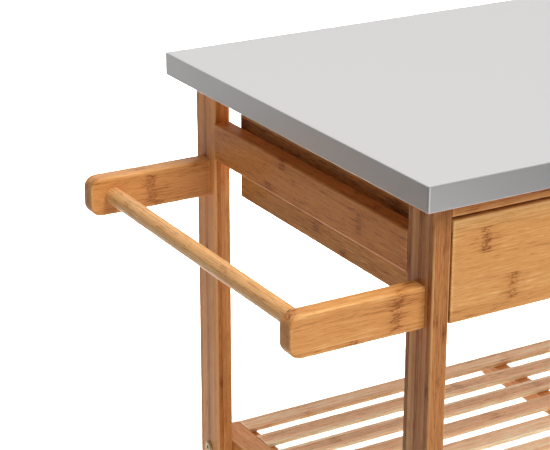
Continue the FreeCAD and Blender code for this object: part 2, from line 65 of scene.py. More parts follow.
# ------------------------------------------------------------------ settings
class CartTimberSettings(bpy.types.PropertyGroup):
    """Sizes and colours of the bamboo."""
    light: FloatVectorProperty(name="Light", description="Palest fibres", subtype="COLOR",
                               size=4, min=0, max=1, default=(0.87, 0.50, 0.20, 1))
    body: FloatVectorProperty(name="Body", description="Most of the wood", subtype="COLOR",
                              size=4, min=0, max=1, default=(0.65, 0.280, 0.080, 1))
    dark: FloatVectorProperty(name="Dark", description="Knuckles and darkest fibres", subtype="COLOR",
                              size=4, min=0, max=1, default=(0.27, 0.078, 0.014, 1))
    edge_ease: FloatProperty(name="Edge Ease", description="Rounding of the stock's long edges",
                             unit="LENGTH", default=0.002, min=0.0002)
    panel_ease: FloatProperty(name="Panel Ease", description="Rounding of panels and drawer fronts",
                              unit="LENGTH", default=0.001, min=0.0002)
    slat_ease: FloatProperty(name="Slat Ease", description="Rounding of slats and shelf rails",
                             unit="LENGTH", default=0.0012, min=0.0002)
    slat_width: FloatProperty(name="Slat Width", description="Width of one shelf slat",
                              unit="LENGTH", default=0.025, min=0.005)
    slat_gap: FloatProperty(name="Slat Gap", description="Wanted gap between slats",
                            unit="LENGTH", default=0.016, min=0.002)
    arm_corner: FloatProperty(name="Arm Corner", description="Corner radius of an arm's free end",
                              unit="LENGTH", default=0.012, min=0.001)
    ledge: FloatProperty(name="Ledge", description="Step in a shelf rail that carries the slats",
                         unit="LENGTH", default=0.0115, min=0.001)


class CartMetalSettings(bpy.types.PropertyGroup):
    """Sizes and colours of the sheet, the knobs and the fasteners."""
    sheet: FloatVectorProperty(name="Sheet", description="Brushed sheet of the worktop",
                               subtype="COLOR", size=4, min=0, max=1, default=(0.605, 0.587, 0.575, 1))
    sheet_thickness: FloatProperty(name="Sheet Thickness", description="Thickness of the sheet",
                                   unit="LENGTH", default=0.0008, min=0.0003)
    sheet_corner: FloatProperty(name="Sheet Corner", description="Radius of the upright corners",
                                unit="LENGTH", default=0.0016, min=0.001)
    sheet_edge: FloatProperty(name="Sheet Edge", description="Radius of the top edges",
                              unit="LENGTH", default=0.001, min=0.0005)
    hem: FloatProperty(name="Hem", description="Width of the sheet folded under the board",
                       unit="LENGTH", default=0.009, min=0.002)
    bolt: FloatVectorProperty(name="Bolt", description="Bronzed heads of the shelf bolts",
                              subtype="COLOR", size=4, min=0, max=1, default=(0.33, 0.22, 0.11, 1))
    zinc: FloatVectorProperty(name="Zinc", description="Plated screws and castor forks",
                              subtype="COLOR", size=4, min=0, max=1, default=(0.62, 0.63, 0.64, 1))


class CartCastorSettings(bpy.types.PropertyGroup):
    """Colours of the castors."""
    rubber: FloatVectorProperty(name="Rubber", description="Tyres", subtype="COLOR", size=4,
                                min=0, max=1, default=(0.035, 0.035, 0.037, 1))
    core: FloatVectorProperty(name="Core", description="Moulded wheels", subtype="COLOR", size=4,
                              min=0, max=1, default=(0.10, 0.10, 0.105, 1))
    pedal: FloatVectorProperty(name="Pedal", description="Brake pedals", subtype="COLOR", size=4,
                               min=0, max=1, default=(0.05, 0.05, 0.052, 1))


class CartStudioSettings(bpy.types.PropertyGroup):
    """Camera and lights round the cart."""
    camera_offset: FloatVectorProperty(
        name="Camera Offset", description="Camera from the worktop's front left top corner",
        subtype="XYZ", unit="LENGTH", size=3, default=(-0.8175, -1.15435, 0.5058))
    camera_turn: FloatProperty(name="Camera Turn", description="Turn about the upright axis",
                               subtype="ANGLE", default=math.radians(-30.15))
    camera_dip: FloatProperty(name="Camera Dip", description="Angle below level",
                              subtype="ANGLE", default=math.radians(20.94))
    lens: FloatProperty(name="Lens", description="Focal length on a 36 mm sensor",
                        subtype="DISTANCE_CAMERA", default=118.92, min=10)
    floor_size: FloatProperty(name="Floor Size", description="Side of the floor",
                              unit="LENGTH", default=11.0, min=2)
    bright_side: FloatVectorProperty(name="Bright Side", description="Where the dome is brightest",
                                     subtype="DIRECTION", size=3, default=(0.49, 0.78, 0.39))
    dome_bright: FloatProperty(name="Dome Bright", description="Strength on the bright side",
                               default=0.96, min=0)
    dome_dim: FloatProperty(name="Dome Dim", description="Strength on the dim side",
                            default=0.08, min=0)
    dome_gloss: FloatProperty(name="Dome Gloss", description="Least strength in a reflection",
                              default=0.45, min=0)
    key_power: FloatProperty(name="Key Power", description="Soft light at the front right",
                             unit="POWER", default=82.0, min=0)
    handle_power: FloatProperty(name="Handle Power", description="Soft light over the handle",
                                unit="POWER", default=2.2, min=0)
    wash_power: FloatProperty(name="Wash Power", description="Light on the floor behind",
                              unit="POWER", default=120.0, min=0)
    floor_glow: FloatProperty(name="Floor Glow", description="Light that the floor gives off",
                              default=0.25, min=0)


# ------------------------------------------------------------------ modelling steps
def pick(*things):
    """Select these objects and nothing else; the first one is active."""
    for thing in bpy.context.selected_objects:
        thing.select_set(False)
    for thing in things:
        thing.select_set(True)
    if things:
        bpy.context.view_layer.objects.active = things[0]


def named(name):
    """Name the object that was just added, and put its place and size into its mesh."""
    piece = bpy.context.active_object
    piece.name = name
    piece.data.name = name
    bpy.ops.object.transform_apply(location=True, rotation=True, scale=True)
    return piece


def add_block(name, low, high):
    low, high = Vector(low), Vector(high)
    pick()
    bpy.ops.mesh.primitive_cube_add(size=1, location=(low + high) / 2, scale=high - low)
    return named(name)


def edit(piece, kind, wanted):
    """Go into edit mode with the wanted edges or faces selected."""
    pick(piece)
    bpy.ops.object.mode_set(mode="EDIT")
    bpy.ops.mesh.select_mode(type=kind)
    bpy.ops.mesh.select_all(action="DESELECT")
    cage = bmesh.from_edit_mesh(piece.data)
    cage.normal_update()
    for part in cage.edges if kind == "EDGE" else cage.faces:
        if wanted(part):
            part.select_set(True)
    bmesh.update_edit_mesh(piece.data)


def done():
    bpy.ops.object.mode_set(mode="OBJECT")


def runs(edge, axis):
    """True if an edge runs along an axis."""
    step = edge.verts[1].co - edge.verts[0].co
    return abs(step[axis]) > 0.999 * step.length


def lies_at(edge, axis, place):
    """True if both ends of an edge are at a place on an axis."""
    return all(abs(end.co[axis] - place) < TINY for end in edge.verts)


def middle_of(edge):
    return (edge.verts[0].co + edge.verts[1].co) / 2


def ease(piece, wanted, radius, segments=3):
    """Round the wanted edges."""
    edit(piece, "EDGE", wanted)
    bpy.ops.mesh.bevel(offset=radius, segments=segments, affect="EDGES", profile=0.5)
    done()


def cut(piece, cutter):
    """Take the cutter's shape out of a piece, and remove the cutter."""
    pick(piece)
    tool = piece.modifiers.new("cut", "BOOLEAN")
    tool.operation = "DIFFERENCE"
    tool.solver = "EXACT"
    tool.object = cutter
    bpy.ops.object.modifier_apply(modifier=tool.name)
    bpy.data.objects.remove(cutter)


def add_rod(name, start, direction, length, radius, sides=48):
    """A cylinder from a start point along a direction."""
    direction = Vector(direction).normalized()
    turn = direction.to_track_quat("Z", "Y").to_euler()
    pick()
    bpy.ops.mesh.primitive_cylinder_add(vertices=sides, radius=radius, depth=length,
                                        location=Vector(start) + direction * length / 2,
                                        rotation=turn)
    return named(name)


def turn_up(name, start, direction, profile, sides):
    """A turned piece: a disc extruded and resized ring by ring, from (radius, height) pairs."""
    direction = Vector(direction).normalized()
    start = Vector(start)
    turn = direction.to_track_quat("Z", "Y").to_euler()
    radius, height = profile[0]
    pick()
    bpy.ops.mesh.primitive_circle_add(vertices=sides, radius=radius, fill_type="NGON",
                                      location=start + direction * height, rotation=turn)
    piece = named(name)
    bpy.ops.object.mode_set(mode="EDIT")
    bpy.ops.mesh.select_mode(type="FACE")
    bpy.ops.mesh.select_all(action="SELECT")
    for next_radius, next_height in profile[1:]:
        step = direction * (next_height - height)
        bpy.ops.mesh.extrude_region_move(TRANSFORM_OT_translate={"value": step})
        grow = next_radius / radius
        bpy.ops.transform.resize(value=(grow, grow, grow),
                                 center_override=start + direction * next_height)
        radius, height = next_radius, next_height
    bpy.ops.mesh.select_all(action="SELECT")
    bpy.ops.mesh.normals_make_consistent(inside=False)
    done()
    return piece


def arc(centre_radius, centre_height, radius, start, stop, steps=5):
    """(radius, height) pairs round a quarter or less, angles in degrees."""
    pairs = []
    for step in range(steps + 1):
        angle = math.radians(start + (stop - start) * step / steps)
        pairs.append((centre_radius + radius * math.cos(angle),
                      centre_height + radius * math.sin(angle)))
    return pairs


def smooth(piece):
    """Shade rounded edges smoothly, and keep the broad faces between them flat."""
    steepest_smooth = math.radians(35)
    pick(piece)
    bpy.ops.object.shade_smooth_by_angle(angle=steepest_smooth)
    flat = piece.modifiers.new("flat_faces", "WEIGHTED_NORMAL")
    flat.weight = 100
    flat.keep_sharp = True
    bpy.ops.object.modifier_apply(modifier=flat.name)


def join(name, pieces):
    """Join several pieces into one object."""
    pick(*pieces)
    if len(pieces) > 1:
        bpy.ops.object.join()
    joined = bpy.context.active_object
    joined.name = name
    joined.data.name = name
    return joined


def lay_grain(piece, along):
    """Store each point's place in its stick: along it, across its wide face and through it."""
    points = [vertex.co.copy() for vertex in piece.data.vertices]
    low = Vector([min(point[axis] for point in points) for axis in (X, Y, Z)])
    high = Vector([max(point[axis] for point in points) for axis in (X, Y, Z)])
    middle, half = (low + high) / 2, (high - low) / 2
    across, through = sorted({X, Y, Z} - {along}, key=lambda axis: -half[axis])
    order = (along, across, through)
    attributes = piece.data.attributes
    grain = attributes.new("grain", "FLOAT_VECTOR", "POINT")
    grain.data.foreach_set("vector", [(point - middle)[axis] for point in points for axis in order])
    stock = attributes.new("stock", "FLOAT_VECTOR", "POINT")
    stock.data.foreach_set("vector", [half[axis] for axis in order] * len(points))
    batch = attributes.new("batch", "FLOAT", "POINT")
    batch.data.foreach_set("value", [random.Random(piece.name).random()] * len(points))


def finish_piece(piece, body, material, node):
    """Give a modelled piece its finish, and let it ride its body in place of its CAD node."""
    smooth(piece)
    piece.data.materials.clear()
    piece.data.materials.append(material)
    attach(piece, body)
    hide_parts(node)


def finish_node(name, material):
    """Give a CAD node that keeps its own shape its finish."""
    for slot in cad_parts[name].material_slots:
        slot.material = material


# ------------------------------------------------------------------ shading steps
class Sketch:
    """Adds nodes to a tree from left to right, and links values into them."""

    def __init__(self, tree):
        self.tree = tree
        self.count = 0

    def add(self, kind, **settings):
        node = self.tree.nodes.new(kind)
        node.location = (180 * (self.count // 4), -220 * (self.count % 4))
        self.count += 1
        for key, value in settings.items():
            setattr(node, key, value)
        return node

    def feed(self, socket, value):
        if isinstance(value, bpy.types.NodeSocket):
            self.tree.links.new(value, socket)
        else:
            socket.default_value = value

    def math(self, operation, *values):
        node = self.add("ShaderNodeMath", operation=operation)
        for index, value in enumerate(values):
            self.feed(node.inputs[index], value)
        return node.outputs[0]

    def vector(self, operation, *values):
        node = self.add("ShaderNodeVectorMath", operation=operation)
        for index, value in enumerate(values):
            self.feed(node.inputs[index], value)
        return node.outputs["Value" if operation == "DOT_PRODUCT" else "Vector"]

    def split(self, vector):
        node = self.add("ShaderNodeSeparateXYZ")
        self.feed(node.inputs[0], vector)
        return node.outputs

    def together(self, x, y, z):
        node = self.add("ShaderNodeCombineXYZ")
        for index, value in enumerate((x, y, z)):
            self.feed(node.inputs[index], value)
        return node.outputs[0]

    def noise(self, vector, detail=2.0, roughness=0.55):
        """Noise over a vector that is already counted in features."""
        node = self.add("ShaderNodeTexNoise")
        self.feed(node.inputs["Vector"], vector)
        node.inputs["Scale"].default_value = 1
        node.inputs["Detail"].default_value = detail
        node.inputs["Roughness"].default_value = roughness
        return node.outputs["Fac"]

    def hash(self, vector):
        node = self.add("ShaderNodeTexWhiteNoise", noise_dimensions="3D")
        self.feed(node.inputs["Vector"], vector)
        return node.outputs["Value"]

    def ramp(self, value, low, high, to_low=0.0, to_high=1.0):
        """A soft step from one level to another between low and high."""
        node = self.add("ShaderNodeMapRange", interpolation_type="SMOOTHSTEP")
        for socket, entry in zip(node.inputs, (value, low, high, to_low, to_high)):
            self.feed(socket, entry)
        return node.outputs[0]

    def mix(self, factor, first, second):
        node = self.add("ShaderNodeMix", data_type="RGBA")
        self.feed(node.inputs["Factor"], factor)
        self.feed(node.inputs[6], first)
        self.feed(node.inputs[7], second)
        return node.outputs[2]


def new_group(name, inputs, outputs):
    """A shader node group with named sockets; returns its sketch, its inputs and its output node."""
    tree = bpy.data.node_groups.new(name, "ShaderNodeTree")
    kinds = {"vector": "NodeSocketVector", "float": "NodeSocketFloat", "colour": "NodeSocketColor"}
    for label, kind in inputs:
        tree.interface.new_socket(label, in_out="INPUT", socket_type=kinds[kind])
    for label, kind in outputs:
        tree.interface.new_socket(label, in_out="OUTPUT", socket_type=kinds[kind])
    sketch = Sketch(tree)
    return sketch, sketch.add("NodeGroupInput").outputs, sketch.add("NodeGroupOutput").inputs


def centred(s, value):
    """A value that runs from 0 to 1, moved to run from -0.5 to 0.5."""
    return s.math("SUBTRACT", value, 0.5)


def fibre_layers(s, along, across, through, tone, batch):
    """Fine streaks, broader flames, soft clouds and short pores, all slightly wavy."""
    bent = across
    for along_scale, across_scale, swing in ((5, 30, 0.004), (32, 70, 0.0014)):
        drift = s.noise(s.together(s.math("MULTIPLY", along, along_scale),
                                   s.math("MULTIPLY", across, across_scale), batch))
        bent = s.math("ADD", bent, s.math("MULTIPLY", centred(s, drift), swing))
    depth = s.math("ADD", through, s.math("MULTIPLY", tone, 0.3))
    layers = []
    for along_scale, across_scale, detail in ((40, 1050, 3.0), (10, 380, 3.0), (4, 45, 1.0),
                                              (75, 1150, 1.5)):
        layers.append(s.noise(s.together(s.math("MULTIPLY", along, along_scale),
                                         s.math("MULTIPLY", bent, across_scale),
                                         s.math("MULTIPLY", depth, across_scale)), detail, 0.6))
    return layers


def knuckle_band(s, given, along, start, flame):
    """The dark, dotted band where a strip's cane was jointed, and the shaded wood beside it."""
    ragged = s.math("MULTIPLY", centred(s, flame), 0.016)
    place = s.math("ADD", s.math("ADD", s.math("DIVIDE", along, given["Spacing"]), start),
                   s.math("DIVIDE", ragged, given["Spacing"]))
    off = s.math("MULTIPLY", s.math("ABSOLUTE", centred(s, s.math("FRACT", place))),
                 given["Spacing"])
    band = s.ramp(off, 0.001, 0.0085, 1.0, 0.0)
    halo = s.ramp(off, 0.004, 0.022, 1.0, 0.0)
    speckle = s.noise(s.vector("MULTIPLY", given["Grain"], (260.0, 650.0, 650.0)), 1.0)
    dots = s.ramp(speckle, 0.40, 0.66)
    knuckle = s.math("MULTIPLY", s.math("MULTIPLY", band, s.math("ADD", dots, 0.35)),
                     given["Knuckles"])
    return knuckle, s.math("MULTIPLY", halo, given["Knuckles"])


def seam_lines(s, rows):
    """Dark seams between strips, on the faces where they come out.

    Each row gives a place counted in strips, a strip's width and the depth below the face."""
    seams = []
    for at, width, inside in rows:
        share = s.math("SUBTRACT", 0.5, s.math("ABSOLUTE", centred(s, s.math("FRACT", at))))
        line = s.ramp(s.math("MULTIPLY", share, width), 0.0001, 0.0005, 1.0, 0.0)
        seams.append(s.math("MULTIPLY", line, s.ramp(inside, 0.0008, 0.002)))
    return s.math("MAXIMUM", *seams)


def worn_edges(s, to_end, to_side, to_face):
    """Wear and a painted highlight along the long edges; the nearest edge is as far off as the middle
    one of the faces.
    """
    least = s.math("MINIMUM", s.math("MINIMUM", to_end, to_side), to_face)
    most = s.math("MAXIMUM", s.math("MAXIMUM", to_end, to_side), to_face)
    total = s.math("ADD", s.math("ADD", to_end, to_side), to_face)
    to_edge = s.math("SUBTRACT", s.math("SUBTRACT", total, least), most)
    return s.ramp(to_edge, 0.0004, 0.0035, 1.0, 0.0)


def bamboo_group():
    """Laminated bamboo: strips side by side and in layers, fibres, knuckles, seams, and worn edges
    lightened with a painted highlight.
    """
    made = bpy.data.node_groups.get("laminated_bamboo")
    if made:
        return made
    s, given, out = new_group(
        "laminated_bamboo",
        [("Grain", "vector"), ("Stock", "vector"), ("Batch", "float"), ("Strip", "float"),
         ("Layer", "float"), ("Knuckles", "float"), ("Tone", "float"), ("Fibre", "float"),
         ("Spacing", "float"), ("Light", "colour"), ("Body", "colour"), ("Dark", "colour")],
        [("Color", "colour"), ("Roughness", "float"), ("Height", "float")])
    along, across, through = s.split(given["Grain"])
    half_along, half_across, half_through = s.split(given["Stock"])
    to_end = s.math("SUBTRACT", half_along, s.math("ABSOLUTE", along))
    to_side = s.math("SUBTRACT", half_across, s.math("ABSOLUTE", across))
    to_face = s.math("SUBTRACT", half_through, s.math("ABSOLUTE", through))

    # Each strip, by its row across the wide face, its layer through the stock and its stick's
    # batch number, has its own tone and its own start along the cane.
    row_at = s.math("ADD", s.math("DIVIDE", across, given["Strip"]), 0.5)
    layer_at = s.math("ADD", s.math("DIVIDE", through, given["Layer"]), 0.5)
    batch = s.math("MULTIPLY", given["Batch"], 7.3)
    strip = s.together(s.math("FLOOR", row_at), s.math("FLOOR", layer_at), batch)
    tone = s.hash(strip)
    start = s.hash(s.vector("ADD", strip, (17.0, 5.0, 3.0)))

    fine, flame, cloud, pore_noise = fibre_layers(s, along, across, through, tone, batch)
    pores = s.ramp(pore_noise, 0.53, 0.68)
    knuckle, halo = knuckle_band(s, given, along, start, flame)
    seam = seam_lines(s, ((row_at, given["Strip"], to_side), (layer_at, given["Layer"], to_face)))
    # The long edges are lightened: partly wear, partly a painted highlight.
    wear_and_highlight = worn_edges(s, to_end, to_side, to_face)

    # Shade: 0 is the dark colour, 0.5 the body colour and 1 the light one.
    fibres = s.math("MULTIPLY", pores, -0.24)
    for part, amount in ((fine, 0.95), (flame, 0.60)):
        fibres = s.math("ADD", fibres, s.math("MULTIPLY", centred(s, part), amount))
    shade = 0.54
    # The last entry lightens the edges, as wear and as a painted highlight.
    for part, amount in ((centred(s, tone), given["Tone"]), (fibres, given["Fibre"]),
                         (centred(s, cloud), 0.40), (halo, -0.10), (knuckle, -0.29),
                         (seam, -0.10), (wear_and_highlight, 0.20)):
        shade = s.math("ADD", shade, s.math("MULTIPLY", part, amount))
    under = s.mix(s.ramp(shade, 0.0, 0.5), given["Dark"], given["Body"])
    s.feed(out["Color"], s.mix(s.ramp(shade, 0.5, 1.0), under, given["Light"]))
    rough = s.math("ADD", 0.33, s.math("MULTIPLY", fine, 0.18))
    s.feed(out["Roughness"], s.math("ADD", rough, s.math("MULTIPLY", pores, 0.12)))
    height = s.math("SUBTRACT", s.math("MULTIPLY", fine, 0.6), s.math("MULTIPLY", pores, 0.5))
    s.feed(out["Height"], s.math("SUBTRACT", height, s.math("MULTIPLY", seam, 0.9)))
    return s.tree


def surface_group():
    """Metal, rubber and moulded faces: fine mottle, drawn lines one way, and light dust."""
    made = bpy.data.node_groups.get("worked_surface")
    if made:
        return made
    s, given, out = new_group(
        "worked_surface",
        [("Vector", "vector"), ("Lines", "vector"), ("Base", "colour"), ("Contrast", "float"),
         ("Smooth", "float"), ("Vary", "float")],
        [("Color", "colour"), ("Roughness", "float"), ("Height", "float")])
    drawn = s.noise(s.vector("MULTIPLY", given["Vector"], given["Lines"]), 3.0, 0.65)
    mottle = s.noise(s.vector("MULTIPLY", given["Vector"], (14.0, 14.0, 14.0)), 4.0, 0.55)
    grit = s.noise(s.vector("MULTIPLY", given["Vector"], (1500.0, 1500.0, 1500.0)), 2.0)
    level = s.math("ADD", s.math("MULTIPLY", centred(s, drawn), given["Contrast"]),
                   s.math("MULTIPLY", centred(s, mottle),
                          s.math("MULTIPLY", given["Contrast"], 0.5)))
    tint = s.math("ADD", level, 1.0)
    s.feed(out["Color"], s.vector("MULTIPLY", given["Base"], s.together(tint, tint, tint)))
    vary = s.math("MULTIPLY", s.math("SUBTRACT", s.math("ADD", drawn, mottle), 1.0), given["Vary"])
    s.feed(out["Roughness"], s.math("ADD", given["Smooth"], vary))
    s.feed(out["Height"], s.math("ADD", drawn, s.math("MULTIPLY", grit, 0.3)))
    return s.tree


def new_material(name):
    """An empty material; returns it with its sketch and its shader."""
    material = bpy.data.materials.new(name)
    material.use_nodes = True
    material.node_tree.nodes.clear()
    sketch = Sketch(material.node_tree)
    shader = sketch.add("ShaderNodeBsdfPrincipled")
    output = sketch.add("ShaderNodeOutputMaterial")
    sketch.feed(output.inputs["Surface"], shader.outputs[0])
    return material, sketch, shader


def raise_grain(sketch, shader, height, strength, distance):
    bump = sketch.add("ShaderNodeBump")
    bump.inputs["Strength"].default_value = strength
    bump.inputs["Distance"].default_value = distance
    sketch.feed(bump.inputs["Height"], height)
    sketch.feed(shader.inputs["Normal"], bump.outputs[0])


def bamboo(name, strip=0.02, layer=0.0062, knuckles=1.0, tone=0.34, fibre=1.0,
           spacing=0.28, turn=None, tint=(1.0, 1.0, 1.0)):
    """Bamboo that follows a piece's own grain, or with turn the axes of a piece that has none."""
    made = bpy.data.materials.get(name)
    if made:
        return made
    timber = bpy.context.scene.cart_timber
    material, s, shader = new_material(name)
    group = s.add("ShaderNodeGroup", node_tree=bamboo_group())
    if turn is None:
        for label, attribute, socket in (("Grain", "grain", "Vector"), ("Stock", "stock", "Vector"),
                                         ("Batch", "batch", "Fac")):
            node = s.add("ShaderNodeAttribute", attribute_name=attribute)
            s.feed(group.inputs[label], node.outputs[socket])
    else:
        place = s.add("ShaderNodeTexCoord")
        mapping = s.add("ShaderNodeMapping", vector_type="POINT")
        mapping.inputs["Rotation"].default_value = turn
        s.feed(mapping.inputs["Vector"], place.outputs["Object"])
        s.feed(group.inputs["Grain"], mapping.outputs[0])
        # Far stock sizes keep the edge wear and painted highlight off pieces without grain.
        too_far_for_wear_and_highlight = 5.0
        group.inputs["Stock"].default_value = (too_far_for_wear_and_highlight,) * 3
    for label, value in (("Strip", strip), ("Layer", layer), ("Knuckles", knuckles),
                         ("Tone", tone), ("Fibre", fibre), ("Spacing", spacing)):
        group.inputs[label].default_value = value
    for label, colour in (("Light", timber.light), ("Body", timber.body), ("Dark", timber.dark)):
        group.inputs[label].default_value = [min(a * b, 1.0) for a, b in zip(colour, (*tint, 1.0))]
    s.feed(shader.inputs["Base Color"], group.outputs["Color"])
    s.feed(shader.inputs["Roughness"], group.outputs["Roughness"])
    shader.inputs["Specular IOR Level"].default_value = 0.25
    shader.inputs["Coat Weight"].default_value = 0.04
    shader.inputs["Coat Roughness"].default_value = 0.25
    raise_grain(s, shader, group.outputs["Height"], strength=0.35, distance=0.00025)
    return material


def worked(name, base, lines=(60.0, 60.0, 60.0), contrast=0.1, roughness=0.4, vary=0.1,
           metallic=0.0, strength=0.2, attribute=None, **extra):
    """A metal, rubber or moulded finish, laid out by Object coordinates or by an attribute."""
    made = bpy.data.materials.get(name)
    if made:
        return made
    material, s, shader = new_material(name)
    if attribute:
        place = s.add("ShaderNodeAttribute", attribute_name=attribute).outputs["Vector"]
    else:
        place = s.add("ShaderNodeTexCoord").outputs["Object"]
    group = s.add("ShaderNodeGroup", node_tree=surface_group())
    s.feed(group.inputs["Vector"], place)
    for label, value in (("Lines", lines), ("Base", base), ("Contrast", contrast),
                         ("Smooth", roughness), ("Vary", vary)):
        group.inputs[label].default_value = value
    s.feed(shader.inputs["Base Color"], group.outputs["Color"])
    s.feed(shader.inputs["Roughness"], group.outputs["Roughness"])
    shader.inputs["Metallic"].default_value = metallic
    for label, value in extra.items():
        shader.inputs[label.replace("_", " ")].default_value = value
    raise_grain(s, shader, group.outputs["Height"], strength, distance=0.0001)
    return material


def zinc():
    return worked("zinc_plate", bpy.context.scene.cart_metal.zinc, contrast=0.16, roughness=0.34,
                  vary=0.16, metallic=1.0)


# ------------------------------------------------------------------ pieces
def stick(node, along, radius, wanted=lambda middle: True):
    """A straight stick in a CAD node's place, with its long edges rounded."""
    low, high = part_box(node)
    piece = add_block(node + "_stick", low, high)
    ease(piece, lambda edge: runs(edge, along) and wanted(middle_of(edge)), radius)
    lay_grain(piece, along)
    return piece


def copy_of(piece, name, step):
    """A copy with its own mesh, moved by a step."""
    pick(piece)
    bpy.ops.object.duplicate()
    bpy.ops.transform.translate(value=step)
    return named(name)


class CART_OT_worktop(bpy.types.Operator):
    """Fold the brushed sheet round the board, with its hem underneath"""
    bl_idname = "cart.worktop"
    bl_label = "Worktop"

    def execute(self, context):
        metal = context.scene.cart_metal
        low, high = SHEET_LOW, SHEET_HIGH
        sheet = add_block("brushed_worktop", low, high)
        ease(sheet, lambda edge: runs(edge, Z), metal.sheet_corner, 8)
        ease(sheet, lambda edge: lies_at(edge, Z, high.z), metal.sheet_edge, 5)
        ease(sheet, lambda edge: lies_at(edge, Z, low.z), metal.sheet_thickness, 3)
        edit(sheet, "FACE", lambda face: face.normal.z < -0.99)
        bpy.ops.mesh.inset(thickness=metal.hem - metal.sheet_thickness)
        bpy.ops.mesh.delete(type="FACE")
        done()
        pick(sheet)
        wall = sheet.modifiers.new("wall", "SOLIDIFY")
        wall.thickness = metal.sheet_thickness
        wall.offset = -1
        wall.use_even_offset = True
        bpy.ops.object.modifier_apply(modifier=wall.name)
        self.unfold(sheet, low, high, metal.sheet_corner)
        steel = worked("brushed_sheet", metal.sheet, lines=(8.0, 750.0, 750.0), contrast=0.15,
                       roughness=0.36, vary=0.10, metallic=1.0, strength=0.10,
                       attribute="flat", Anisotropic=0.35)
        finish_piece(sheet, "cart", steel, "top_skin")
        core = worked("core_board", (0.42, 0.30, 0.18, 1), lines=(160.0, 700.0, 700.0),
                      contrast=0.9, roughness=0.7, vary=0.15, strength=0.4)
        finish_node("top_board", core)
        return {"FINISHED"}

    def unfold(self, sheet, low, high, fold):
        """Store each point's place in the flat sheet, so that its brushing runs over the folds."""
        flat = []
        for vertex in sheet.data.vertices:
            x, y, z = vertex.co
            drop = high.z - z
            if x < low.x + fold or x > high.x - fold:
                x += math.copysign(drop, x - (low.x + high.x) / 2)
            elif y < low.y + fold or y > high.y - fold:
                y += math.copysign(drop, y - (low.y + high.y) / 2)
            flat += (x, y, 0.0)
        sheet.data.attributes.new("flat", "FLOAT_VECTOR", "POINT").data.foreach_set("vector", flat)


class CART_OT_legs(bpy.types.Operator):
    """Set up the four legs"""
    bl_idname = "cart.legs"
    bl_label = "Legs"

    def execute(self, context):
        timber = context.scene.cart_timber
        # Over the legs' own darker tone, a darker tint paints shade on the front pair and a lighter
        # tint paints light on the back pair.
        for end, tint in (("front", (0.76, 0.70, 0.67)), ("back", (1.08, 1.00, 0.95))):
            material = bamboo("bamboo_legs_" + end, strip=0.0052, layer=0.0047, knuckles=0.55,
                              tone=0.65, fibre=0.8, tint=tint)
            for side in SIDES:
                node = "leg_" + end + "_" + side
                leg = stick(node, Z, timber.edge_ease)
                finish_piece(leg, "cart", material, node)
        return {"FINISHED"}


class CART_OT_rails(bpy.types.Operator):
    """Fit the end rails between the legs, and the long rails under the worktop"""
    bl_idname = "cart.rails"
    bl_label = "Rails"

    def execute(self, context):
        timber = context.scene.cart_timber
        material = bamboo("bamboo_rails", fibre=1.25, tint=(1.0, 0.88, 0.78))
        for side in SIDES:
            node = "end_rail_" + side
            rail = stick(node, Y, timber.edge_ease)
            finish_piece(rail, "cart", material, node)
        for node in ("front_rail", "back_rail"):
            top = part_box(node)[1].z
            rail = stick(node, X, timber.edge_ease, lambda middle: middle.z < top - TINY)
            finish_piece(rail, "cart", material, node)
        return {"FINISHED"}


class CART_OT_handle(bpy.types.Operator):
    """Make the towel handle: two arms, the bar between them and their screws"""
    bl_idname = "cart.handle"
    bl_label = "Towel Handle"

    def execute(self, context):
        timber = context.scene.cart_timber
        arm_finish = bamboo("bamboo_arms", strip=0.03, tone=0.2, spacing=0.12)
        bar_low, bar_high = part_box("towel_bar")
        bar_middle = (bar_low + bar_high) / 2
        radius = (bar_high.x - bar_low.x) / 2
        bore_play, bar_ease = 0.0001, 0.001
        for end in ENDS:
            node = "towel_arm_" + end
            low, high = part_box(node)
            arm = add_block(node + "_stick", low, high)
            ease(arm, lambda edge: runs(edge, Y) and middle_of(edge).x < low.x + TINY,
                 timber.arm_corner, 8)
            ease(arm, lambda edge: abs(edge.verts[0].co.y - edge.verts[1].co.y) < TINY
                 and middle_of(edge).x < high.x - TINY, timber.edge_ease)
            bottom_y, inwards = (bar_low.y, 1) if end == "front" else (bar_high.y, -1)
            cut(arm, add_rod("bore", (bar_middle.x, bottom_y, bar_middle.z), (0, inwards, 0),
                             high.y - low.y, radius + bore_play))
            lay_grain(arm, X)
            finish_piece(arm, "cart", arm_finish, node)
        bar = add_rod("towel_bar_rod", (bar_middle.x, bar_low.y, bar_middle.z), (0, 1, 0),
                      bar_high.y - bar_low.y, radius, 64)
        ease(bar, lambda edge: not runs(edge, Y), bar_ease, 2)
        lay_grain(bar, Y)
        bar_finish = bamboo("bamboo_bar", strip=0.0058, layer=0.0058, knuckles=0.6, spacing=0.2,
                            tint=(1.22, 1.48, 1.9))
        finish_piece(bar, "cart", bar_finish, "towel_bar")
        self.screws()
        return {"FINISHED"}

    def screws(self):
        """Countersunk screws with a cross recess, seen inside the left legs."""
        low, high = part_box("arm_screws")
        head, shank, tip, tip_length = 0.004, 0.002, 0.0004, 0.004
        proud = 0.0003
        slot_long, slot_wide, slot_deep = 0.0038, 0.0008, 0.0012
        length = high.x - low.x
        profile = [(tip, 0), (shank, tip_length), (shank, length - head + shank), (head, length),
                   (head * 0.8, length + proud * 0.7), (head * 0.4, length + proud)]
        screws = []
        for y in (low.y + head, high.y - head):
            for z in (low.z + head, high.z - head):
                screw = turn_up("arm_screw", (low.x, y, z), (1, 0, 0), profile, 32)
                face = Vector((high.x + proud, y, z))
                for wide, tall in ((slot_long, slot_wide), (slot_wide, slot_long)):
                    reach = Vector((slot_deep, wide / 2, tall / 2))
                    cut(screw, add_block("recess", face - reach, face + reach))
                screws.append(screw)
        finish_piece(join("arm_screw_set", screws), "cart", zinc(), "arm_screws")


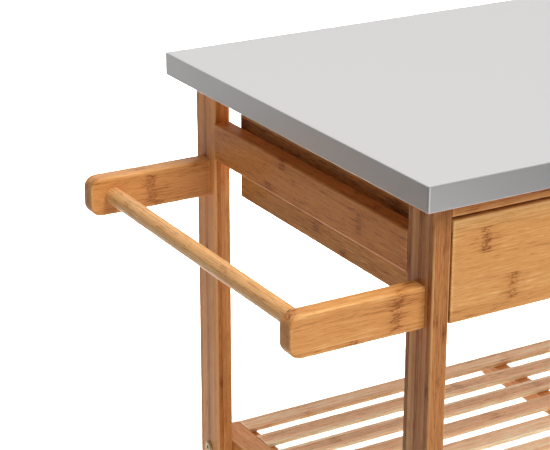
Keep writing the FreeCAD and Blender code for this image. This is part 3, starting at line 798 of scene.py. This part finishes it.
class CART_OT_housing(bpy.types.Operator):
    """Fit the panels that hold the drawers, and their runners"""
    bl_idname = "cart.housing"
    bl_label = "Drawer Housing"

    def execute(self, context):
        ease_by = context.scene.cart_timber.panel_ease
        material = bamboo("bamboo_panels", strip=0.019, tone=0.5, fibre=1.4,
                          tint=(0.80, 0.76, 0.56))
        for name in ("side_left", "side_right", "divider", "back"):
            node = "housing_" + name
            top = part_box(node)[1].z
            panel = stick(node, X if name == "back" else Y, ease_by,
                          lambda middle: middle.z < top - TINY)
            finish_piece(panel, "cart", material, node)
        finish_node("drawer_runners", bamboo("bamboo_runners", turn=(0, 0, math.radians(-90)),
                                             knuckles=0.4))
        return {"FINISHED"}


class CART_OT_drawers(bpy.types.Operator):
    """Make the drawer fronts, and finish the boxes behind them"""
    bl_idname = "cart.drawers"
    bl_label = "Drawers"

    def execute(self, context):
        radius = context.scene.cart_timber.panel_ease
        front_finish = bamboo("bamboo_fronts", strip=0.0245, spacing=0.2,
                              tint=(1.0, 1.06, 1.08))
        along_x = bamboo("bamboo_boxes_across", turn=(0, 0, 0), knuckles=0.6)
        along_y = bamboo("bamboo_boxes_deep", turn=(0, 0, math.radians(-90)), knuckles=0.6)
        for side in SIDES:
            drawer = "drawer_" + side
            node = drawer + "_front"
            low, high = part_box(node)
            front = add_block(node + "_board", low, high)
            ease(front, lambda edge: lies_at(edge, Y, low.y), radius * 1.3, 3)
            ease(front, lambda edge: lies_at(edge, Y, high.y), radius / 2, 2)
            lay_grain(front, X)
            finish_piece(front, drawer, front_finish, node)
            for name in ("_side_left", "_side_right", "_bottom"):
                finish_node(drawer + name, along_y)
            finish_node(drawer + "_back", along_x)
            finish_node(drawer + "_knob_screw", zinc())
        return {"FINISHED"}


class CART_OT_knobs(bpy.types.Operator):
    """Turn a knob for each drawer"""
    bl_idname = "cart.knobs"
    bl_label = "Knobs"

    def execute(self, context):
        material = worked("turned_steel", (0.60, 0.595, 0.585, 1), lines=(300.0, 300.0, 300.0),
                          contrast=0.06, roughness=0.30, vary=0.08, metallic=1.0, strength=0.08)
        foot, foot_height, foot_ease = 0.0085, 0.0025, 0.0006
        neck, fillet = 0.0055, 0.002
        head_height, rim, crown = 0.009, 0.001, 0.0035
        groove_half, groove_deep = 0.0005, 0.0004
        for side in SIDES:
            drawer = "drawer_" + side
            node = drawer + "_knob"
            low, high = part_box(node)
            centre = (low + high) / 2
            head, reach = (high.x - low.x) / 2, high.y - low.y
            under = reach - head_height
            profile = [(foot, 0), (foot, foot_height - foot_ease), (foot - foot_ease, foot_height)]
            profile += arc(neck + fillet, foot_height + fillet, fillet, 270, 180)
            profile += arc(neck + fillet, under - fillet, fillet, 180, 90)
            profile += arc(head - rim, under + rim, rim, 270, 360, 3)
            profile += arc(head - crown, reach - crown, crown, 0, 90, 8)
            groove = head * 0.6
            profile += [(groove + groove_half, reach), (groove, reach - groove_deep),
                        (groove - groove_half, reach), (head * 0.1, reach)]
            knob = turn_up(node + "_turned", (centre.x, high.y, centre.z), (0, -1, 0), profile, 64)
            finish_piece(knob, drawer, material, node)
        return {"FINISHED"}


class CART_OT_shelves(bpy.types.Operator):
    """Make the two slatted shelves"""
    bl_idname = "cart.shelves"
    bl_label = "Shelves"

    def execute(self, context):
        timber = context.scene.cart_timber
        rail_finish = bamboo("bamboo_shelf_rails", strip=0.0135, knuckles=0.7)
        # The slats' tint makes them paler and less saturated: partly their paler stock, partly a
        # painted sheen.
        slat_finish = bamboo("bamboo_slats", strip=0.0125, knuckles=0.5, tint=(1.34, 1.95, 3.6))
        battens = []
        for level in LEVELS:
            slat_low, slat_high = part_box(level + "_shelf_slats")
            for side in SIDES:
                node = level + "_shelf_rail_" + side
                rail = self.stepped_rail(node, side, slat_low.z, timber)
                finish_piece(rail, "cart", rail_finish, node)
            slats = self.slats(level, slat_low, slat_high, timber)
            finish_piece(slats, "cart", slat_finish, level + "_shelf_slats")
            batten_low, batten_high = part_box("shelf_battens")
            rail_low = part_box(level + "_shelf_rail_left")[0]
            batten = add_block(level + "_batten", (batten_low.x, batten_low.y, rail_low.z),
                               (batten_high.x, batten_high.y, slat_low.z))
            ease(batten, lambda edge: runs(edge, Y) and middle_of(edge).z < slat_low.z - TINY,
                 timber.slat_ease)
            lay_grain(batten, Y)
            battens.append(batten)
        finish_piece(join("shelf_batten_pair", battens), "cart", rail_finish,
                     "shelf_battens")
        return {"FINISHED"}

    def stepped_rail(self, node, side, step_z, timber):
        """A rail with a step along its inner edge, where the slats lie."""
        low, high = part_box(node)
        step_x = high.x - timber.ledge if side == "left" else low.x + timber.ledge
        rail = add_block(node + "_stick", low, (high.x, high.y, step_z))
        edit(rail, "FACE", lambda face: True)
        bpy.ops.mesh.bisect(plane_co=(step_x, 0, 0), plane_no=(1, 0, 0))
        done()
        edit(rail, "FACE", lambda face: face.normal.z > 0.9
             and (face.calc_center_median().x < step_x) == (side == "left"))
        bpy.ops.mesh.extrude_region_move(
            TRANSFORM_OT_translate={"value": (0, 0, high.z - step_z)})
        done()
        ease(rail, lambda edge: runs(edge, Y) and (abs(middle_of(edge).x - step_x) > TINY
                                                   or middle_of(edge).z > high.z - TINY),
             timber.slat_ease)
        lay_grain(rail, Y)
        return rail

    def slats(self, level, low, high, timber):
        """Slats from the front of a shelf to its back, each cut from its own stick."""
        span = high.y - low.y
        width = timber.slat_width
        count = round((span + timber.slat_gap) / (width + timber.slat_gap))
        pitch = (span - width) / (count - 1)
        first = add_block(level + "_slat_0", low, (high.x, low.y + width, high.z))
        ease(first, lambda edge: runs(edge, X), timber.slat_ease)
        slats = [first]
        for index in range(1, count):
            name = level + "_slat_" + str(index)
            slats.append(copy_of(first, name, (0, index * pitch, 0)))
        for slat in slats:
            lay_grain(slat, X)
        return join(level + "_slat_set", slats)


class CART_OT_bolts(bpy.types.Operator):
    """Turn the eight shelf bolts, each with a hexagon socket"""
    bl_idname = "cart.bolts"
    bl_label = "Shelf Bolts"

    def execute(self, context):
        low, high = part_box("shelf_bolts")
        shank, shank_length = 0.003, 0.0445
        head, height, under_ease, crown = 0.0065, 0.0026, 0.0003, 0.0013
        socket_radius, socket_floor = 0.0023, 0.001
        profile = [(shank, -shank_length), (shank, 0.0), (head - under_ease, 0.0),
                   (head, under_ease)]
        profile += arc(head - crown, height - crown, crown, 0, 90, 4)
        profile += [(head * 0.45, height)]
        bolts = []
        for face_x, out in ((low.x + height, -1), (high.x - height, 1)):
            for level in LEVELS:
                rail_low, rail_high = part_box(level + "_shelf_rail_left")
                z = (rail_low.z + rail_high.z) / 2
                for end in ENDS:
                    leg_low, leg_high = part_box("leg_" + end + "_left")
                    face = Vector((face_x, (leg_low.y + leg_high.y) / 2, z))
                    bolt = turn_up("shelf_bolt", face, (out, 0, 0), profile, 40)
                    cut(bolt, add_rod("socket", face + Vector((out * socket_floor, 0, 0)),
                                      (out, 0, 0), height, socket_radius, 6))
                    bolts.append(bolt)
        bronze = worked("bronzed_bolt", context.scene.cart_metal.bolt, contrast=0.3,
                        roughness=0.30, vary=0.2, metallic=1.0)
        finish_piece(join("shelf_bolt_set", bolts), "cart", bronze, "shelf_bolts")
        return {"FINISHED"}


class CART_OT_castors(bpy.types.Operator):
    """Finish the castors' stems, forks, axles, wheels and tyres"""
    bl_idname = "cart.castors"
    bl_label = "Castors"

    def execute(self, context):
        castor = context.scene.cart_castor
        rubber = worked("tyre_rubber", castor.rubber, contrast=0.5, roughness=0.62, vary=0.2,
                        strength=0.3)
        core = worked("moulded_core", castor.core, contrast=0.25, roughness=0.45, vary=0.12)
        finish_node("castor_stems", zinc())
        for end in ENDS:
            for side in SIDES:
                name = "castor_" + end + "_" + side
                finish_node(name + "_fork", zinc())
                finish_node(name + "_axle", zinc())
                finish_node(name + "_wheel", core)
                finish_node(name + "_tyre", rubber)
        return {"FINISHED"}


class CART_OT_brakes(bpy.types.Operator):
    """Finish the brake pedals"""
    bl_idname = "cart.brakes"
    bl_label = "Brake Pedals"

    def execute(self, context):
        pedal = worked("brake_pedal", context.scene.cart_castor.pedal, contrast=0.3,
                       roughness=0.5, vary=0.15, strength=0.3)
        for side in SIDES:
            finish_node("castor_front_" + side + "_brake", pedal)
        return {"FINISHED"}


class CART_OT_studio(bpy.types.Operator):
    """Set the floor, the lights and the camera"""
    bl_idname = "cart.studio"
    bl_label = "Studio"

    def execute(self, context):
        studio = context.scene.cart_studio
        self.floor(studio)
        self.cards()
        self.dome(context.scene, studio)
        self.lights(studio)
        self.camera(context.scene, studio)
        context.scene.view_settings.view_transform = "Standard"
        return {"FINISHED"}

    def floor(self, studio):
        """A pale floor that glows a little, so that it stays pale out to its edge."""
        pick()
        bpy.ops.mesh.primitive_plane_add(size=studio.floor_size)
        floor = named("studio_floor")
        floor.data.materials.append(
            worked("studio_floor", (0.93, 0.93, 0.93, 1), lines=(3.0, 3.0, 3.0), contrast=0.01,
                   roughness=0.9, vary=0.05, strength=0.02, Emission_Color=(1.0, 1.0, 1.0, 1.0),
                   Emission_Strength=studio.floor_glow))

    def cards(self):
        """Dark cards on the floor, each with a flag on its outer side, for reflections only."""
        thick, flag_height = 0.01, 1.2
        left_low, left_high = Vector((-3.3, -1.0, 0.0)), Vector((-0.9, 2.5, thick))
        right_low, right_high = Vector((0.75, -3.4, 0.0)), Vector((4.6, -0.9, thick))
        dark = worked("dark_card", (0.02, 0.02, 0.02, 1), roughness=1.0)
        for name, low, high in (
                ("card_left", left_low, left_high),
                ("flag_left", left_low - Vector((thick, 0, 0)),
                 (left_low.x, left_high.y, flag_height)),
                ("card_right", right_low, right_high),
                ("flag_right", right_low - Vector((0, thick, 0)),
                 (right_high.x, right_low.y, flag_height))):
            card = add_block(name, low, high)
            card.data.materials.append(dark)
            card.visible_camera = card.visible_diffuse = card.visible_shadow = False

    def dome(self, scene, studio):
        """Light from all round, brightest on one side, and even for the camera."""
        world = bpy.data.worlds.new("studio_dome")
        scene.world = world
        world.use_nodes = True
        sketch = Sketch(world.node_tree)
        towards = sketch.add("ShaderNodeTexCoord").outputs["Generated"]
        side = sketch.vector("DOT_PRODUCT", towards, studio.bright_side)
        still_dim, fully_bright = 0.3, 0.95
        lighting = sketch.ramp(side, still_dim, fully_bright, studio.dome_dim, studio.dome_bright)
        rays = sketch.add("ShaderNodeLightPath").outputs
        for ray, strength in (("Is Camera Ray", studio.dome_bright),
                              ("Is Glossy Ray", studio.dome_gloss)):
            lighting = sketch.math("MAXIMUM", lighting,
                                   sketch.math("MULTIPLY", rays[ray], strength))
        background = world.node_tree.nodes["Background"]
        background.inputs["Color"].default_value = (1.0, 1.0, 1.0, 1.0)
        sketch.feed(background.inputs["Strength"], lighting)

    def lights(self, studio):
        """Square lights, each with its place, aim, side, power and spread in degrees."""
        lights = (("key", (0.25, -2.2, 3.05), (-0.2, 0.0, 0.7), 1.6, studio.key_power, 180),
                  ("handle_top", (-0.55, -0.3, 2.6), (-0.45, -0.05, 0.8), 1.0,
                   studio.handle_power, 60),
                  ("floor_wash", (1.1, 2.3, 2.0), (1.1, 2.3, 0.0), 2.8, studio.wash_power, 70))
        for name, place, aim, size, power, spread in lights:
            pick()
            turn = (Vector(aim) - Vector(place)).to_track_quat("-Z", "Y").to_euler()
            bpy.ops.object.light_add(type="AREA", location=place, rotation=turn)
            light = bpy.context.active_object
            light.name = name
            light.visible_camera = light.visible_glossy = False
            light.data.shape = "SQUARE"
            light.data.size = size
            light.data.energy = power
            light.data.spread = math.radians(spread)

    def camera(self, scene, studio):
        """A long lens, set from the worktop's front left top corner."""
        corner = Vector((SHEET_LOW.x, SHEET_LOW.y, SHEET_HIGH.z))
        pick()
        bpy.ops.object.camera_add(location=corner + Vector(studio.camera_offset),
                                  rotation=(math.pi / 2 - studio.camera_dip, 0,
                                            studio.camera_turn))
        camera = bpy.context.active_object
        camera.data.lens = studio.lens
        camera.data.sensor_width = 36.0
        camera.data.clip_end = 4 * studio.floor_size
        scene.camera = camera


# ------------------------------------------------------------------ panel and registration
STEPS = (CART_OT_worktop, CART_OT_legs, CART_OT_rails, CART_OT_handle, CART_OT_housing,
         CART_OT_drawers, CART_OT_knobs, CART_OT_shelves, CART_OT_bolts, CART_OT_castors,
         CART_OT_brakes, CART_OT_studio)
SETTINGS = {"cart_timber": CartTimberSettings, "cart_metal": CartMetalSettings,
            "cart_castor": CartCastorSettings, "cart_studio": CartStudioSettings}


class CART_PT_panel(bpy.types.Panel):
    """The cart's steps and settings"""
    bl_label = "Kitchen Island Cart"
    bl_idname = "CART_PT_panel"
    bl_space_type = "VIEW_3D"
    bl_region_type = "UI"
    bl_category = "Cart"

    def draw(self, context):
        for step in STEPS:
            self.layout.operator(step.bl_idname)
        for label in SETTINGS:
            settings = getattr(context.scene, label)
            box = self.layout.box()
            for name in settings.__annotations__:
                box.prop(settings, name)


def register():
    for entry in (*SETTINGS.values(), *STEPS, CART_PT_panel):
        bpy.utils.register_class(entry)
    for label, settings in SETTINGS.items():
        setattr(bpy.types.Scene, label, PointerProperty(type=settings))


def unregister():
    for label in SETTINGS:
        delattr(bpy.types.Scene, label)
    for entry in reversed((*SETTINGS.values(), *STEPS, CART_PT_panel)):
        bpy.utils.unregister_class(entry)


def main():
    """Make every piece."""
    register()
    for step in STEPS:
        group, name = step.bl_idname.split(".")
        getattr(getattr(bpy.ops, group), name)()


if __name__ == "__main__":
    main()
